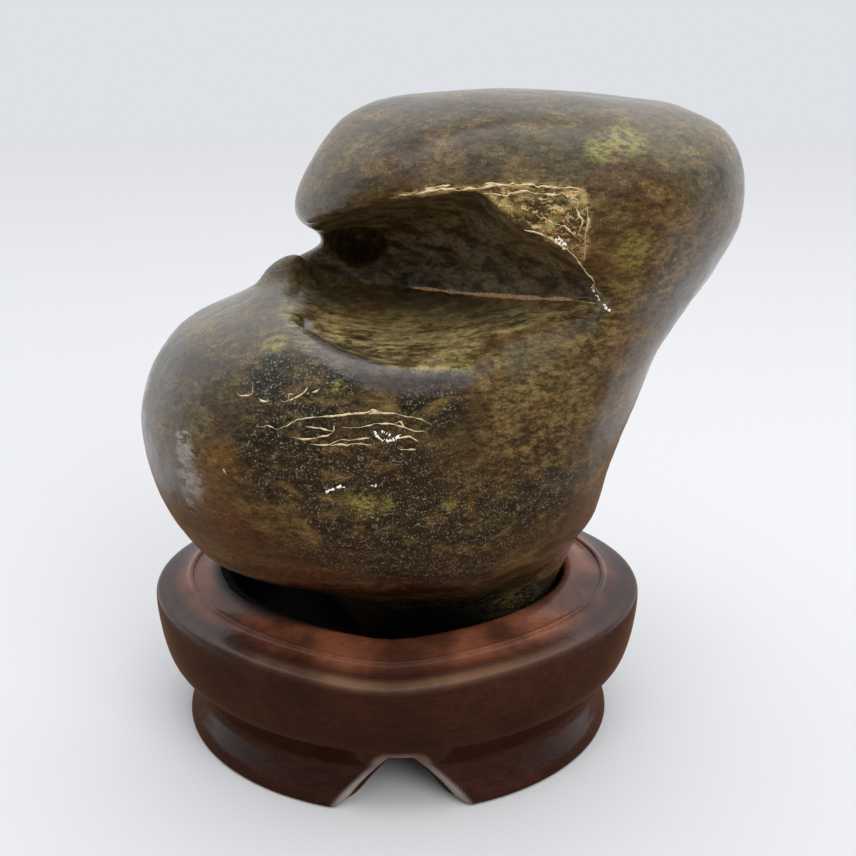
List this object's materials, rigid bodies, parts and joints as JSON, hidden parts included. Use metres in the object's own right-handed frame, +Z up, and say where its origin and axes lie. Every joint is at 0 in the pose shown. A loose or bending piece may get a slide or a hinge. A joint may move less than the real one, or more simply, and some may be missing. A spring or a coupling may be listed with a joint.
{
  "type": "scholars rock",
  "caption": "Dark polished viewing stone with an overhanging cap, set upright in a carved oval hardwood stand on a low arched foot.",
  "frame": {"origin": "on the ground under the middle of the whole object's footprint", "axes": "+X to the viewer's right along the stand's long side, +Y away from the viewer, +Z up"},
  "size_m": [0.1078, 0.0728, 0.1189],
  "materials": {
    "stone": "water-worn and waxed to a high gloss, olive brown with dark green and rust mottling",
    "stand": "dark red-brown lacquered hardwood, glossy"
  },
  "bodies": {
    "root": {"stone": "stone", "stand": "stand"}
  },
  "joints": []
}
